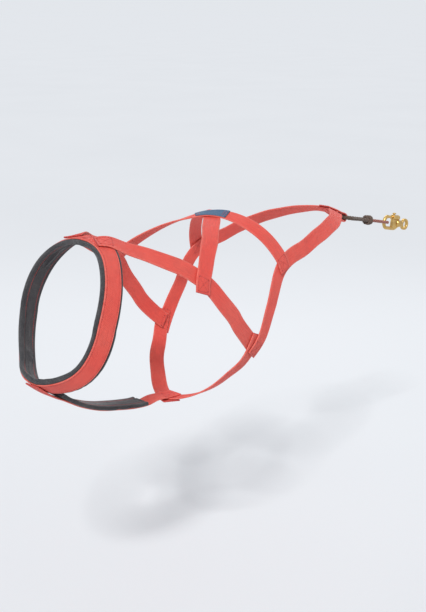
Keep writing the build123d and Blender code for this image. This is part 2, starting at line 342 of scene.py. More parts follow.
# %% [markdown]
# ## Finishes
#
# Nylon webbing, napped lining, rope and worn brass share a few effects: fine threads, fading and
# dirt. Each effect is a node group with named inputs, built once, and every material places it
# with its own values. The groups give masks, colours and heights only. Each material keeps its
# own shader, because an export can't read a shader inside a group.
#
# In code, every node, value and link takes a line of its own, and a tree is soon hard to read. So a
# small helper adds a node, sets its values and links it in one call.

# %% A small helper that wires nodes


class Wiring:
    """Adds nodes to a tree. A value may be a number, a colour or another node's socket."""

    def __init__(self, tree):
        self.nodes, self.links = tree.nodes, tree.links

    def feed(self, socket, value):
        """Links a socket, or sets a plain value."""
        if isinstance(value, bpy.types.NodeSocket):
            self.links.new(value, socket)
        else:
            socket.default_value = value

    def add(self, kind, values=None, **settings):
        """A node with its settings, and its inputs by name or number."""
        node = self.nodes.new(kind)
        for key, value in settings.items():
            setattr(node, key, value)
        for name, value in (values or {}).items():
            self.feed(node.inputs[name], value)
        return node

    def maths(self, operation, *values):
        """Result of a Math node."""
        return self.add("ShaderNodeMath", dict(enumerate(values)), operation=operation).outputs[0]

    def noise(self, place, scale, detail=2.0, roughness=0.5):
        """Noise from 0 to 1. A larger scale is finer."""
        values = {"Vector": place, "Scale": scale, "Detail": detail, "Roughness": roughness}
        return self.add("ShaderNodeTexNoise", values).outputs[0]

    def spread(self, value, low, high, to_low=0.0, to_high=1.0):
        """A value's stretch from low to high, spread over another."""
        values = {"Value": value, "From Min": low, "From Max": high, "To Min": to_low, "To Max": to_high}
        return self.add("ShaderNodeMapRange", values).outputs[0]

    def mix(self, factor, first, second):
        """A colour between two."""
        return self.add("ShaderNodeMix", {0: factor, 6: first, 7: second}, data_type="RGBA").outputs[2]

    def stretch(self, place, scale):
        """A place scaled by axis, so that a pattern is finer that way."""
        return self.add("ShaderNodeMapping", {"Vector": place, "Scale": scale}).outputs[0]

    def bump(self, height, distance, strength=1.0, normal=None):
        """Normal of a height in metres, over another normal."""
        values = {"Height": height, "Distance": distance, "Strength": strength}
        if normal is not None:
            values["Normal"] = normal
        return self.add("ShaderNodeBump", values).outputs[0]

    def object_place(self):
        """Place on the object, which runs on from piece to piece."""
        return self.nodes.new("ShaderNodeTexCoord").outputs["Object"]

    def map_place(self, name):
        """Place on one of the piece's flat maps."""
        return self.add("ShaderNodeUVMap", uv_map=name).outputs[0]

    def number(self, name):
        """A number that is stored on the points."""
        return self.add("ShaderNodeAttribute", attribute_name=name).outputs["Fac"]

    def effect(self, group, **values):
        """Outputs of a shared effect with its own values."""
        node = self.add("ShaderNodeGroup", node_tree=group)
        for name, value in values.items():
            self.feed(node.inputs[name], value)
        return node.outputs


# %% Node groups with named sockets


def new_group(name, inputs, outputs):
    """A shader node group with its sockets. Gives the group, its wiring, its inputs and its result."""
    group = bpy.data.node_groups.new(name, "ShaderNodeTree")
    for socket_name, kind, default in inputs:
        socket = group.interface.new_socket(socket_name, in_out="INPUT", socket_type="NodeSocket" + kind)
        if default is not None:
            socket.default_value = default
    for socket_name, kind in outputs:
        group.interface.new_socket(socket_name, in_out="OUTPUT", socket_type="NodeSocket" + kind)
    wiring = Wiring(group)
    given = wiring.nodes.new("NodeGroupInput").outputs
    result = wiring.nodes.new("NodeGroupOutput").inputs
    return group, wiring, given, result


def sockets_of(group):
    """Names of a group's inputs and outputs."""
    return [item.name for item in group.interface.items_tree]


# %% [markdown]
# ## Fine threads
#
# Yarn is spun of filaments that are too thin to model. A sine wave across the piece's own flat map
# draws them, noise makes them wander, and a stretched noise gives the flecks where they catch the
# light. The flat map is used, and not the place in the room, because threads follow the cloth.

# %% Effect of fine threads
WANDER_SCALE, FLECK_SCALE = 420, 1100
FLECK_SHAPE = (1, 5, 1)


def thread_group():
    """Fine filaments along the flat map, a little wavy, with flecks where the light catches them."""
    group, wiring, given, result = new_group(
        "fine_threads",
        [("Map", "Vector", None), ("Pitch", "Float", 0.0003), ("Slant", "Float", 0.0)],
        [("Height", "Float"), ("Fleck", "Float")],
    )
    split = wiring.add("ShaderNodeSeparateXYZ", {0: given["Map"]}).outputs
    slanted = wiring.maths("MULTIPLY_ADD", split[0], given["Slant"], split[1])
    wander = wiring.maths("MULTIPLY", wiring.noise(given["Map"], WANDER_SCALE), given["Pitch"])
    turns = wiring.maths("DIVIDE", wiring.maths("ADD", slanted, wander), given["Pitch"])
    wave = wiring.maths("SINE", wiring.maths("MULTIPLY", turns, 2 * math.pi))
    wiring.feed(result["Height"], wiring.maths("MULTIPLY_ADD", wave, 0.5, 0.5))
    flecks = wiring.noise(wiring.stretch(given["Map"], FLECK_SHAPE), FLECK_SCALE, detail=3)
    wiring.feed(result["Fleck"], flecks)
    return group


THREADS = thread_group()
print(THREADS.name, sockets_of(THREADS))

# %% [markdown]
# ## Warp floats
#
# On the face of webbing, bundles of warp float and dive in turn, each column half a step behind
# its neighbour. The crowns are modelled, so this mask only gives each float its outline and the
# gap round it, which the webbing's finish paints in shade. A brick texture has the same layout but
# hard corners. The cubed distance from the middle of each step, added up both ways, rounds them.

# %% Effect of the weave
# where on the outline, from 0 in a float's middle to 2 in its corner, the float and its gap lie
FLOAT_ENDS, GAP_STARTS, GAP_DARKEST = 1.3, 0.7, 1.5


def weave_group():
    """Warp bundles that float and dive in turn. The map counts floats along and columns across."""
    group, wiring, given, result = new_group(
        "warp_floats", [("Map", "Vector", None)], [("Height", "Float"), ("Gap", "Float")]
    )
    split = wiring.add("ShaderNodeSeparateXYZ", {0: given["Map"]}).outputs
    odd = wiring.maths("FLOORED_MODULO", wiring.maths("FLOOR", split[1]), 2.0)
    shifted = wiring.maths("MULTIPLY_ADD", odd, 0.5, split[0])

    def past_middle(value):
        """Cube of how far a value is from the middle of its step, from 0 to 1."""
        off = wiring.maths("MULTIPLY_ADD", wiring.maths("FRACT", value), 2.0, -1.0)
        return wiring.maths("POWER", wiring.maths("ABSOLUTE", off), 3.0)

    outline = wiring.maths("ADD", past_middle(shifted), past_middle(split[1]))
    wiring.feed(result["Height"], wiring.spread(outline, 0, FLOAT_ENDS, 1, 0))
    wiring.feed(result["Gap"], wiring.spread(outline, GAP_STARTS, GAP_DARKEST))
    return group


WEAVE = weave_group()
print(WEAVE.name, sockets_of(WEAVE))

# %% [markdown]
# ## Sun and dirt
#
# Sun, wet and handling change cloth slowly and in patches. A large noise fades the colour, and a
# finer one lays dirt on it. Both read Object coordinates, so a patch runs on from one strap to the
# next, as on a harness that has been worn.

# %% Effect of sun and dirt
DIRT_FINER = 3.7


def weather_group():
    """Slow changes of a colour by sun, wet and handling, from the place on the object."""
    group, wiring, given, result = new_group(
        "sun_and_dirt",
        [
            ("Color", "Color", (1, 1, 1, 1)),
            ("Faded", "Color", (1, 1, 1, 1)),
            ("Dirt", "Color", (0.1, 0.08, 0.06, 1)),
            ("Fading", "Float", 0.3),
            ("Soiling", "Float", 0.1),
            ("Size", "Float", 14.0),
        ],
        [("Color", "Color")],
    )
    place = wiring.object_place()
    sun = wiring.spread(wiring.noise(place, given["Size"], detail=3), 0.38, 0.66)
    fine_size = wiring.maths("MULTIPLY", given["Size"], DIRT_FINER)
    dirt = wiring.spread(wiring.noise(place, fine_size, detail=5, roughness=0.62), 0.50, 0.74)
    faded = wiring.mix(wiring.maths("MULTIPLY", sun, given["Fading"]), given["Color"], given["Faded"])
    soiled = wiring.mix(wiring.maths("MULTIPLY", dirt, given["Soiling"]), faded, given["Dirt"])
    wiring.feed(result["Color"], soiled)
    return group


WEATHER = weather_group()
print(WEATHER.name, sockets_of(WEATHER))

# %% [markdown]
# ## Nap
#
# Brushed lining and worn rope are covered in short fibres that lie every way. Hair could make them
# one by one, but it would be far heavier than the harness itself, so two layers of noise give a
# height for the bump and a mask for the tufts.

# %% Effect of the nap
CLUMP_COARSER = 0.28


def nap_group():
    """Short fibres that lie every way, as on brushed lining and on worn rope."""
    group, wiring, given, result = new_group(
        "nap", [("Scale", "Float", 900.0)], [("Height", "Float"), ("Tuft", "Float")]
    )
    place = wiring.object_place()
    coarse_scale = wiring.maths("MULTIPLY", given["Scale"], CLUMP_COARSER)
    coarse = wiring.noise(place, coarse_scale, detail=4, roughness=0.6)
    fibres = wiring.noise(place, given["Scale"], detail=4, roughness=0.7)
    wiring.feed(result["Height"], wiring.maths("MULTIPLY_ADD", coarse, 0.6, fibres))
    wiring.feed(result["Tuft"], wiring.spread(coarse, 0.35, 0.65))
    return group


NAP = nap_group()
print(NAP.name, sockets_of(NAP))

# %% [markdown]
# ## The webbing's finish
#
# The webbing is coral red nylon. Its warp threads lie in columns whose crowns are real shape, so
# the material only adds what is finer: the outline of each bundle, painted shade in the gap round
# it, its filaments with a painted highlight on the crowns, a slow ripple of tape that has been wet
# and pulled, fading in the sun, edges rubbed pale and the gloss of the heat-sealed cut ends. The
# keeper's blue webbing is the same material with other colours.

# %% A material with its own shader


def new_material(name, **constants):
    """A material with its own shader. Constants are set on the shader's sockets by name."""
    material = bpy.data.materials.new(name)
    material.use_nodes = True
    wiring = Wiring(material.node_tree)
    shader = wiring.nodes["Principled BSDF"].inputs
    for key, value in constants.items():
        shader[key.replace("_", " ")].default_value = value
    return material, wiring, shader


# %% Finish of woven tape
DARK_DIRT = (0.120, 0.070, 0.055, 1)
FILAMENT_PITCH = 0.00026
# heights that the bump nodes stand for, in metres
FLOAT_HEIGHT, FILAMENT_HEIGHT, RIPPLE_HEIGHT = 0.00040, 0.00005, 0.0016
# yarns are long along the tape and thin across it, ripples a little wider than they are long
YARN_SHAPE, RIPPLE_SHAPE = (60, 620, 1), (1, 0.6, 1)
RIPPLE_SCALE, RUBBED_SCALE = 75, 150


def webbing_material(name, colour, faded, deep, rubbed_colour):
    """Woven nylon tape with raised warp crowns, rubbed selvedges, painted shade and painted highlights.
    """
    material, wiring, shader = new_material(name, Sheen_Weight=0.18, Sheen_Roughness=0.35)
    flat, sealed = wiring.map_place("flat"), wiring.number("sealed")
    weave = wiring.effect(WEAVE, Map=wiring.map_place("weave"))
    threads = wiring.effect(THREADS, Map=flat, Pitch=FILAMENT_PITCH)
    yarn = wiring.noise(wiring.stretch(flat, YARN_SHAPE), 1.0)
    aged = wiring.effect(
        WEATHER, Color=colour, Faded=faded, Dirt=DARK_DIRT, Fading=0.55, Soiling=0.16, Size=13.0
    )
    # yarns differ in dye, gaps get painted shade and flecked crowns a painted highlight
    tinted = wiring.mix(wiring.spread(yarn, 0.35, 0.70, 0, 0.35), aged["Color"], deep)
    shaded = wiring.mix(wiring.maths("MULTIPLY", weave["Gap"], 0.80), tinted, deep)
    # painted highlight: flecked filaments on the crowns take the faded colour
    flecks = wiring.spread(threads["Fleck"], 0.45, 0.70, 0, 0.45)
    crown_highlight = wiring.maths("MULTIPLY", weave["Height"], flecks)
    lit = wiring.mix(crown_highlight, shaded, faded)
    # selvedges are rubbed pale in patches, and cut ends are sealed dark and glossy
    patches = wiring.spread(wiring.noise(flat, RUBBED_SCALE, detail=4, roughness=0.65), 0.36, 0.66)
    rubbed = wiring.maths("MULTIPLY", wiring.number("selvedge"), patches)
    worn = wiring.mix(wiring.maths("MULTIPLY", rubbed, 0.55), lit, rubbed_colour)
    wiring.feed(shader["Base Color"], wiring.mix(wiring.maths("MULTIPLY", sealed, 0.75), worn, deep))
    fuzz = wiring.maths("MULTIPLY_ADD", rubbed, 0.20, 0.46)
    rough = wiring.maths("MULTIPLY_ADD", threads["Fleck"], 0.22, fuzz)
    wiring.feed(shader["Roughness"], wiring.maths("MULTIPLY_ADD", sealed, -0.25, rough))
    # bumps from slow to fine: the strap's ripple, its filaments and the outlines of its floats
    waves = wiring.noise(wiring.stretch(flat, RIPPLE_SHAPE), RIPPLE_SCALE)
    ripple = wiring.bump(waves, RIPPLE_HEIGHT, strength=0.6)
    filaments = wiring.maths("MULTIPLY_ADD", threads["Fleck"], 0.5, threads["Height"])
    fine = wiring.bump(filaments, FILAMENT_HEIGHT, strength=0.8, normal=ripple)
    outlines = wiring.bump(weave["Height"], FLOAT_HEIGHT, strength=0.9, normal=fine)
    wiring.feed(shader["Normal"], outlines)
    return material


# %% Coral and blue webbing
# darker colours serve dark yarns, sealed ends and painted shade; faded ones sun fading and painted
# highlights
CORAL = (0.900, 0.086, 0.060, 1)
CORAL_FADED_AND_HIGHLIGHT = (0.940, 0.158, 0.110, 1)
CORAL_DARK_AND_SHADE = (0.520, 0.036, 0.030, 1)
CORAL_RUBBED = (0.900, 0.300, 0.235, 1)
BLUE = (0.036, 0.120, 0.240, 1)
BLUE_FADED_AND_HIGHLIGHT = (0.080, 0.180, 0.285, 1)
BLUE_DARK_AND_SHADE = (0.014, 0.044, 0.110, 1)
BLUE_RUBBED = (0.200, 0.300, 0.390, 1)

WEBBING = webbing_material("coral_webbing", CORAL, CORAL_FADED_AND_HIGHLIGHT, CORAL_DARK_AND_SHADE, CORAL_RUBBED)
BLUE_WEBBING = webbing_material("blue_webbing", BLUE, BLUE_FADED_AND_HIGHLIGHT, BLUE_DARK_AND_SHADE, BLUE_RUBBED)
print("webbing materials of", len(WEBBING.node_tree.nodes), "nodes")

# %% [markdown]
# ## Working on one piece at a time
#
# An operator acts on all that is selected, and a freshly loaded model is selected. So every step
# first drops the selection and takes hold of just one piece. Faces and points are then selected
# in code, by their place.

# %% Taking hold of a piece, and adding one


def take(piece):
    """Selects one piece alone and makes it the active one."""
    bpy.ops.object.select_all(action="DESELECT")
    piece.select_set(True)
    bpy.context.view_layer.objects.active = piece


def add(operator, name, scale=(1, 1, 1), turn=(0, 0, 0), at=(0, 0, 0), **settings):
    """Adds a primitive at its size and place, with its object left at the origin."""
    bpy.ops.object.select_all(action="DESELECT")
    operator(**settings)
    piece = bpy.context.active_object
    piece.name = name
    piece.scale, piece.rotation_euler, piece.location = scale, turn, at
    bpy.ops.object.transform_apply(location=True, rotation=True, scale=True)
    return piece


# %% Reading and moving points


def points_of(piece):
    """Places of a piece's points, one row each."""
    places = np.empty(len(piece.data.vertices) * 3)
    piece.data.vertices.foreach_get("co", places)
    return places.reshape(-1, 3)


def set_points(piece, places):
    """Puts a piece's points at new places."""
    piece.data.vertices.foreach_set("co", np.ascontiguousarray(places, dtype=np.float32).ravel())
    piece.data.update()


def lay_piece(piece, route):
    """Lays a flat piece along a route."""
    set_points(piece, route.lay(points_of(piece)))
    return piece


# %% Edit mode with chosen points


def open_with(piece, wanted):
    """Opens a piece in edit mode with the points selected for which wanted(places) is true."""
    take(piece)
    bpy.ops.object.mode_set(mode="EDIT")
    bpy.ops.mesh.select_mode(type="VERT")
    bpy.ops.mesh.select_all(action="DESELECT")
    bpy.ops.object.mode_set(mode="OBJECT")
    piece.data.vertices.foreach_set("select", wanted(points_of(piece)))
    bpy.ops.object.mode_set(mode="EDIT")


def close():
    """Leaves edit mode."""
    bpy.ops.object.mode_set(mode="OBJECT")


# %% [markdown]
# ## Weaving the tape
#
# Webbing is woven from thick warp threads that float over two picks and then dive, each column a
# half step behind its neighbour. One repeat of that is a grid of eight faces with three raised
# points. Two arrays make it a tape, a mirror adds the underside, and a bridge with one cut closes
# the edge, which is pushed out to the round selvedge of real tape. A bump map could fake the
# crowns, but not the ragged outline that they give a strap that is seen from its side.

# %% Modifiers that are applied at once
MERGE_WITHIN = 1e-5


def apply_modifier(piece, kind, **settings):
    """Adds a modifier and applies it at once."""
    take(piece)
    modifier = piece.modifiers.new(kind.lower(), kind)
    for key, value in settings.items():
        setattr(modifier, key, value)
    bpy.ops.object.modifier_apply(modifier=modifier.name)


def repeat(piece, count, step):
    """Repeats a piece in a row and merges what touches."""
    apply_modifier(
        piece,
        "ARRAY",
        count=count,
        use_relative_offset=False,
        use_constant_offset=True,
        constant_offset_displace=step,
        use_merge_vertices=True,
        merge_threshold=MERGE_WITHIN,
    )


# %% Closing the edge between two sheets


def bridge_sheets(piece, cuts):
    """Closes the gap between the upper and the lower sheet of a piece."""
    open_with(piece, lambda places: np.zeros(len(places), bool))
    bpy.ops.mesh.select_mode(type="EDGE")
    bpy.ops.mesh.select_non_manifold(
        extend=False,
        use_wire=False,
        use_boundary=True,
        use_multi_face=False,
        use_non_contiguous=False,
        use_verts=False,
    )
    bpy.ops.mesh.bridge_edge_loops(number_cuts=cuts)
    bpy.ops.mesh.select_all(action="SELECT")
    bpy.ops.mesh.normals_make_consistent(inside=False)
    close()


def push_out(piece, length, width, height, amount):
    """Moves the rings of the closed edge that lie within a height outwards by an amount."""
    open_with(piece, lambda places: np.abs(places[:, 2]) < height)
    wider = ((length + amount) / length, (width + 2 * amount) / width, 1)
    bpy.ops.transform.resize(value=wider, center_override=(length / 2, 0, 0))
    close()


# %% A flat map that a piece keeps when it is bent


def keep_map(piece, name, places):
    """Keeps the places of a flat piece's points as a UV map, so that a finish follows the cloth."""
    layer = piece.data.uv_layers.new(name=name)
    corner_points = np.empty(len(piece.data.loops), dtype=np.int32)
    piece.data.loops.foreach_get("vertex_index", corner_points)
    flat = np.ascontiguousarray(places[corner_points, :2], dtype=np.float32)
    layer.data.foreach_set("uv", flat.ravel())


# %% Woven tape
FLOAT_LENGTH = 0.0024
CROWN = 0.00032
SELVEDGE = 0.0005
# raised points of one repeat, in floats along and columns across, and how near counts as there
RAISED_AT = ((0.5, 0.5), (0.0, 1.5), (1.0, 1.5))
RAISED_WITHIN = 0.1


def woven_tape(name, length, width=WEB_WIDTH, thick=WEB_THICK, columns=14):
    """Flat tape from X = 0, centred on Y and Z, with the crowns of its warp threads raised."""
    rows = max(2, round(length / FLOAT_LENGTH))
    cell, column = length / rows, width / columns
    tape = add(
        bpy.ops.mesh.primitive_grid_add,
        name,
        scale=(cell, 2 * column, 1),
        at=(cell / 2, column - width / 2, thick / 2 - CROWN),
        x_subdivisions=2,
        y_subdivisions=4,
        size=1,
    )

    def on_crown(places):
        """Points that a warp thread raises."""
        along, across = places[:, 0] / cell, (places[:, 1] + width / 2) / column
        return np.any([np.hypot(along - a, across - b) < RAISED_WITHIN for a, b in RAISED_AT], axis=0)

    open_with(tape, on_crown)
    bpy.ops.transform.translate(value=(0, 0, CROWN))
    close()
    repeat(tape, columns // 2, (0, 2 * column, 0))
    repeat(tape, rows, (cell, 0, 0))
    apply_modifier(tape, "MIRROR", use_axis=(False, False, True), use_mirror_merge=False)
    bridge_sheets(tape, cuts=1)
    push_out(tape, length, width, thick / 8, SELVEDGE)
    keep_map(tape, "weave", (points_of(tape) + (0, width / 2, 0)) / (cell, column, 1))
    take(tape)
    bpy.ops.object.shade_smooth()
    return tape


print("floats in 10 cm of tape", round(0.1 / FLOAT_LENGTH))

# %% [markdown]
# ## Sewing
#
# A harness is held by its seams. Lines run along the padded straps, and where a strap ends on
# another it is sewn with a box that has a cross in it. A seam presses a groove into the tape, and
# each stitch is a small bead of thread in that groove. One stitch is modelled and an array makes
# the row. The stitches are laid along the strap's route afterwards, together with the tape.

# %% Where the seams run
LINE_AT = 0.0103
BOX_START, BOX_LENGTH, BOX_HALF_WIDTH = 0.003, 0.020, 0.0092


def box_seam(start, half_width=BOX_HALF_WIDTH, length=BOX_LENGTH):
    """A stitched box with a cross in it, from X = start."""
    end = start + length
    corners = [(start, -half_width), (end, -half_width), (end, half_width), (start, half_width)]
    sides = list(zip(corners, corners[1:] + corners[:1]))
    return sides + [(corners[0], corners[2]), (corners[1], corners[3])]


def line_seams(start, end):
    """Two lines of stitches along a strap."""
    return [((start, y), (end, y)) for y in (-LINE_AT, LINE_AT)]


def cross_seams(*distances):
    """Rows of stitches across a strap, at distances along it."""
    return [((x, -BOX_HALF_WIDTH), (x, BOX_HALF_WIDTH)) for x in distances]


print("rows of stitches in a box", len(box_seam(BOX_START)))

# %% Grooves that the thread presses
SEAM_DEPTH = 0.00028
SEAM_REACH = 0.0008


def distance_to(places, seam):
    """Distance of flat points to one row of stitches."""
    start, end = np.array(seam[0]), np.array(seam[1])
    run = end - start
    share = np.clip((places[:, :2] - start) @ run / (run @ run), 0, 1)
    return np.linalg.norm(places[:, :2] - start - share[:, None] * run, axis=1)


def press_seams(tape, seams):
    """Presses a groove into both faces of a flat tape along its seams."""
    places = points_of(tape)
    for seam in seams:
        sink = SEAM_DEPTH * np.exp(-((distance_to(places, seam) / SEAM_REACH) ** 2))
        places[:, 2] -= np.sign(places[:, 2]) * np.minimum(sink, np.abs(places[:, 2]))
    set_points(tape, places)


# %% One row of stitches
STITCH_PITCH = 0.0032
STITCH_LENGTH = 0.0026
STITCH_WIDTH = 0.0009
STITCH_HALF_HEIGHT = STITCH_WIDTH * 0.36
STITCH_SEGMENTS, STITCH_RINGS = 8, 5


def stitch_row(seam, height):
    """A row of stitches along one seam of the flat tape, at a height."""
    start, run = Vector(seam[0]), Vector(seam[1]) - Vector(seam[0])
    count = max(2, round(run.length / STITCH_PITCH))
    step = run / count
    row = add(
        bpy.ops.mesh.primitive_uv_sphere_add,
        "stitch",
        scale=(STITCH_LENGTH / 2, STITCH_WIDTH / 2, STITCH_HALF_HEIGHT),
        turn=(0, 0, math.atan2(run.y, run.x)),
        at=(start.x + step.x / 2, start.y + step.y / 2, height),
        segments=STITCH_SEGMENTS,
        ring_count=STITCH_RINGS,
        radius=1,
    )
    repeat(row, count, (step.x, step.y, 0))
    return row


print("stitches in 10 cm", round(0.1 / STITCH_PITCH))

# %% Sewing along a route
STITCH_POINTS = STITCH_SEGMENTS * (STITCH_RINGS - 1) + 2
STITCH_SEARCH = 0.0014
sewn = []


def join(pieces, name):
    """Joins pieces to one."""
    bpy.ops.object.select_all(action="DESELECT")
    for piece in pieces:
        piece.select_set(True)
    bpy.context.view_layer.objects.active = pieces[0]
    bpy.ops.object.join()
    pieces[0].name = name
    return pieces[0]


def sew(route, seams, heights, search=STITCH_SEARCH):
    """Lays rows of stitches at heights over a route. The cloth's face is within search of them."""
    for height in heights:
        rows = join([stitch_row(seam, height) for seam in seams], "stitches")
        along = points_of(rows)[:, 0].reshape(-1, STITCH_POINTS).mean(axis=1)
        outward = route.read(route.up, along) * math.copysign(1, height)
        sewn.append((lay_piece(rows, route), outward, search))


print("points of one stitch", STITCH_POINTS)

# %% [markdown]
# ## The straps
#
# Each strap is woven to the length of its route, measured for its finish while it is flat, pressed
# where it is sewn, and laid. Left and right differ only where they cross. Measuring comes before
# laying, because on a bent strap nothing tells how far a point is from the edge or the cut end.

# %% Heights of the thread over and under a strap
STITCH_RISE = 0.00015
TOP = WEB_THICK / 2 - SEAM_DEPTH + STITCH_RISE
UNDER_ONE, UNDER_TWO = -TOP - PLY, -TOP - 2 * PLY
PAD_GROOVE = 0.0018
UNDER_PAD = -WEB_THICK / 2 - OVER_PAD + PAD_INSET + PAD_GROOVE - STITCH_RISE
PAD_SEARCH = 0.0030
heights_mm = [round(1000 * height, 2) for height in (TOP, UNDER_ONE, UNDER_TWO, UNDER_PAD)]
print("heights of the thread from a strap's middle, in mm", heights_mm)

# %% Marks for the finishes, and what a piece stands for


def mark(piece, name, values):
    """Stores one number for each point, for the finishes to read."""
    attribute = piece.data.attributes.new(name, "FLOAT", "POINT")
    attribute.data.foreach_set("value", np.ascontiguousarray(values, dtype=np.float32))


def dress(piece, material, body="harness", replaced=()):
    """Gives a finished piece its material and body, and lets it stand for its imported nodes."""
    piece.data.materials.clear()
    piece.data.materials.append(material)
    if replaced:
        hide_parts(*replaced)
    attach(piece, body)


# %% One strap, woven, marked, pressed and laid
SEAL_LENGTH = 0.0014
RUB_REACH = 0.0022


def lay_webbing(node, route, seams=(), heights=(TOP,), material=WEBBING, slot="webbing", **cut):
    """Weaves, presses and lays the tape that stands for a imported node."""
    length, start = cut.pop("length", route.length), cut.pop("start", 0.0)
    tape = woven_tape(node + "_woven", length, **cut)
    flat = points_of(tape)
    mark(tape, "sealed", 1 - np.clip(np.minimum(flat[:, 0], length - flat[:, 0]) / SEAL_LENGTH, 0, 1))
    inward = cut.get("width", WEB_WIDTH) / 2 - np.abs(flat[:, 1])
    mark(tape, "selvedge", np.clip(1 - inward / RUB_REACH, 0, 1))
    keep_map(tape, "flat", flat)
    flat[:, 0] += start
    set_points(tape, flat)
    press_seams(tape, seams)
    lay_piece(tape, route)
    sew(route, seams, heights)
    print(node, "is woven of", len(tape.data.polygons), "faces")
    dress(tape, material, replaced=[node])


# %% Straps that come in pairs
LINE_MARGIN = 0.002
TACKS_AT = (0.0022, 0.0046)

for side_name, side, over in (("left", 1, 0), ("right", -1, 1)):
    neck = strap_route(NECK_RING, side, OVER_PAD, sway=0)
    neck_lines = line_seams(LINE_MARGIN, neck.length - LINE_MARGIN)
    lay_webbing(f"neck_web_{side_name}", neck, neck_lines + cross_seams(*TACKS_AT))
    sew(neck, neck_lines, (UNDER_PAD,), PAD_SEARCH)

    shoulder = strap_route(SHOULDER, side)
    lay_webbing(f"shoulder_web_{side_name}", shoulder, box_seam(BOX_START))

    girth = strap_route(GIRTH, side, 0, over)
    girth_faces = (TOP, UNDER_TWO) if over else (TOP,)
    lay_webbing(f"girth_web_{side_name}", girth, box_seam(BOX_START), girth_faces)

    cross = strap_route(CROSS, side, 0, over)
    cross_ends = box_seam(BOX_START) + box_seam(cross.length - BOX_START - BOX_LENGTH)
    lay_webbing(f"cross_web_{side_name}", cross, cross_ends, (TOP, UNDER_ONE))

    flank = strap_route(SIDE, side, 0, over)
    lay_webbing(f"side_web_{side_name}", flank, box_seam(BOX_START), (TOP, UNDER_TWO))
    routes = (neck, shoulder, girth, cross, flank)
    print(side_name, "straps, in metres", [round(route.length, 3) for route in routes])

# %% [markdown]
# ## The breast strap
#
# One strap runs in the middle, from the neck opening back between the legs. It lies on the neck
# ring in front and under the girth straps behind, with a stitched box at each, and two lines of
# stitches hold its lining. The lines start and end where the lining does, so they are given as
# stations on the trunk and not as lengths.

# %% Breast strap
BREAST_LINES_FROM, BREAST_LINES_TO = 0.300, 0.158

breast = strap_route(BREAST)
breast_lines = line_seams(breast.distance_at(BREAST_LINES_FROM), breast.distance_at(BREAST_LINES_TO))
breast_ends = box_seam(BOX_START) + box_seam(breast.length - BOX_START - BOX_LENGTH)
lay_webbing("breast_web", breast, breast_ends + breast_lines)
sew(breast, breast_lines, (UNDER_PAD,), PAD_SEARCH)
print("breast strap", round(breast.length, 3), "m")

# %% [markdown]
# ## The blue keeper
#
# A thin blue band is sewn over the crossing. It could be shaped over both straps by shrinkwrap, but
# it lies on the upper strap alone, so it takes that strap's own route, raised by half of both
# thicknesses.

# %% Keeper over the crossing
KEEPER_WIDTH, KEEPER_THICK, KEEPER_LENGTH = 0.024, 0.0016, 0.050
KEEPER_SEAMS = (0.0030, 0.0065, KEEPER_LENGTH - 0.0065, KEEPER_LENGTH - 0.0030)

keeper_route = strap_route(CROSS, -1, 0, 1, WEB_THICK + KEEPER_THICK / 2 - STITCH_RISE)
keeper_start = keeper_route.distance_at(0) - KEEPER_LENGTH / 2
lay_webbing(
    "cross_keeper",
    keeper_route,
    cross_seams(*(keeper_start + x for x in KEEPER_SEAMS)),
    (KEEPER_THICK / 2 - SEAM_DEPTH + STITCH_RISE,),
    BLUE_WEBBING,
    "keeper_webbing",
    length=KEEPER_LENGTH,
    start=keeper_start,
    width=KEEPER_WIDTH,
    thick=KEEPER_THICK,
)
print("keeper starts", round(keeper_start, 3), "m along its strap")

# %% [markdown]
# ## The tail tab
#
# A narrower tape is folded round the ends of the side straps. Its fold is the eye of the tug. The
# tape could be folded in edit mode, but a fold of edges has corners, and tape bends smoothly. So
# its route is a spline, drawn in the plane of symmetry, forward and up from the eye's centre. The
# tape is sewn through with two boxes.

# %% A smooth line through control points


def smooth_line(control_points):
    """Points of a smooth spline that follows a few control points."""
    curve = bpy.data.curves.new("line", "CURVE")
    curve.dimensions = "3D"
    curve.resolution_u = 24
    spline = curve.splines.new("NURBS")
    spline.points.add(len(control_points) - 1)
    for point, place in zip(spline.points, control_points):
        point.co = (*place, 1)
    spline.order_u = 3
    spline.use_endpoint_u = True
    holder = bpy.data.objects.new("line", curve)
    line = np.array([vertex.co for vertex in bpy.data.meshes.new_from_object(holder).vertices], float)
    bpy.data.objects.remove(holder)
    return line


# %% Line of the folded tape
TAB_GAP = WEB_THICK + PLY / 2
EYE_HALF_GAP = 0.0066
TAIL_STEP = 0.010
# control points, forward of the eye and above it
TAB_LINE = [
    (0.0560, TAB_GAP - 0.0042),
    (0.0400, TAB_GAP - 0.0018),
    (0.0240, TAB_GAP + 0.0002),
    (0.0120, TAB_GAP + 0.0006),
    (0.0040, EYE_HALF_GAP),
    (-0.0065, EYE_HALF_GAP),
    (-0.0065, -EYE_HALF_GAP),
    (0.0040, -EYE_HALF_GAP),
    (0.0120, -TAB_GAP - 0.0006),
    (0.0200, -TAB_GAP),
    (0.0400, -TAB_GAP),
    (0.0560, -TAB_GAP),
]
tug_at = Vector(joints["tug_swing"]["pos_m"])
tail_forward = (trunk_point(TAIL_STATION + TAIL_STEP, 0) - trunk_point(TAIL_STATION, 0)).normalized()
tail_up = Vector((-tail_forward.z, 0, tail_forward.x))
to_left = Vector((0, 1, 0))


def tab_route():
    """Route of the folded tape, whose width keeps one direction."""
    places = smooth_line([tug_at + tail_forward * forward + tail_up * up for forward, up in TAB_LINE])
    return Route(places, np.cross(np.gradient(places, axis=0), -np.array(to_left)))


tab = tab_route()
print("tail tab", round(tab.length, 3), "m")

# %% Tail tab, woven and sewn
TAB_WIDTH, TAB_COLUMNS = 0.019, 10
TAB_BOX_HALF_WIDTH, TAB_BOX_LENGTH = 0.0066, 0.027

